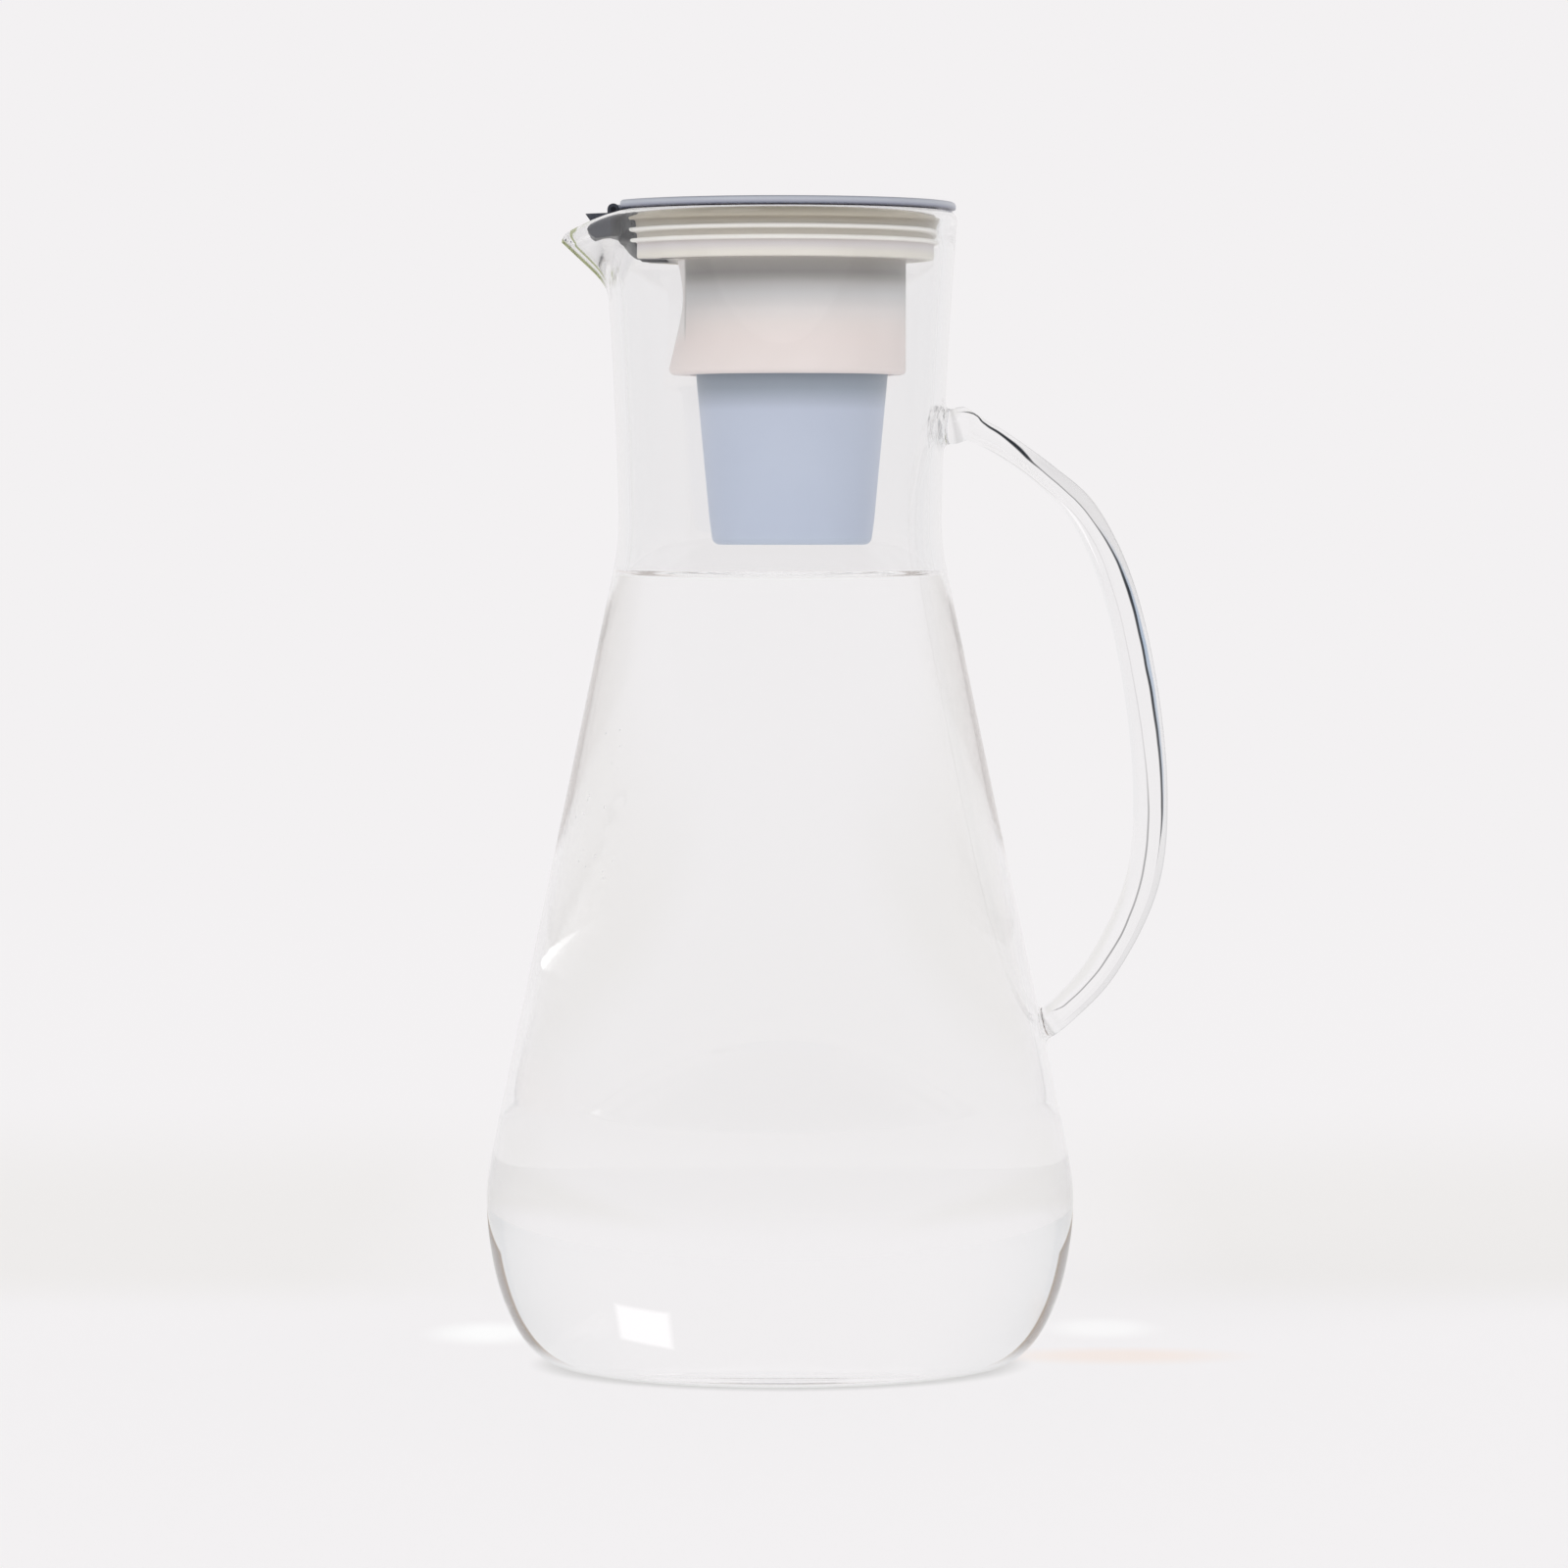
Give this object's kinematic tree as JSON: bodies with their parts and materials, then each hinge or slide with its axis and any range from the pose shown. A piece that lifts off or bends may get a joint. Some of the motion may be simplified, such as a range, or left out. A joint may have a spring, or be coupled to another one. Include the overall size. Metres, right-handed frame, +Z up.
{
  "type": "water filter pitcher",
  "caption": "Clear glass carafe with a pulled spout, a solid glass handle, a dark plug lid with a flip lid, and a hanging blue filter cartridge.",
  "frame": {"origin": "centre of the flat underside of the base, on the neck's axis", "axes": "+Z up, -X towards the spout, +X towards the handle; XZ is the plane of symmetry"},
  "size_m": [0.1437, 0.1238, 0.2447],
  "materials": {
    "clear_glass": "clear and polished",
    "slate_plastic": "satin",
    "pale_silicone": "soft satin",
    "holder_plastic": "translucent, satin",
    "blue_plastic": "satin",
    "white_plastic": "satin",
    "dark_rubber": "matt",
    "pin_steel": "ground",
    "filter_mesh": "fine woven nylon",
    "filter_felt": "matted felt",
    "carbon_granules": "granular, dull"
  },
  "bodies": {
    "carafe": {"glass_carafe": "clear_glass", "glass_handle": "clear_glass"},
    "lid": {"lid_body": "slate_plastic", "lid_seal": "pale_silicone", "hinge_pin": "pin_steel", "filter_holder": "holder_plastic", "holder_seal": "dark_rubber"},
    "flip_lid": {"flip_lid": "slate_plastic"},
    "cartridge": {"cartridge_cup": "blue_plastic", "cartridge_cap": "white_plastic", "cartridge_seal": "dark_rubber", "inlet_screen": "filter_mesh", "inlet_pad": "filter_felt", "carbon_bed": "carbon_granules", "outlet_pad": "filter_felt", "outlet_screen": "filter_mesh"}
  },
  "joints": [
    {"name": "lid_lift", "type": "slide", "parent": "carafe", "child": "lid", "axis": [0, 0, 1], "range_m": [0, 0.085]},
    {"name": "flip_hinge", "type": "hinge", "parent": "lid", "child": "flip_lid", "pos_m": [-0.0349, 0, 0.243], "axis": [0, -1, 0], "range_deg": [0, 110]},
    {"name": "cartridge_pull", "type": "slide", "parent": "lid", "child": "cartridge", "axis": [0, 0, -1], "range_m": [0, 0.055]}
  ]
}
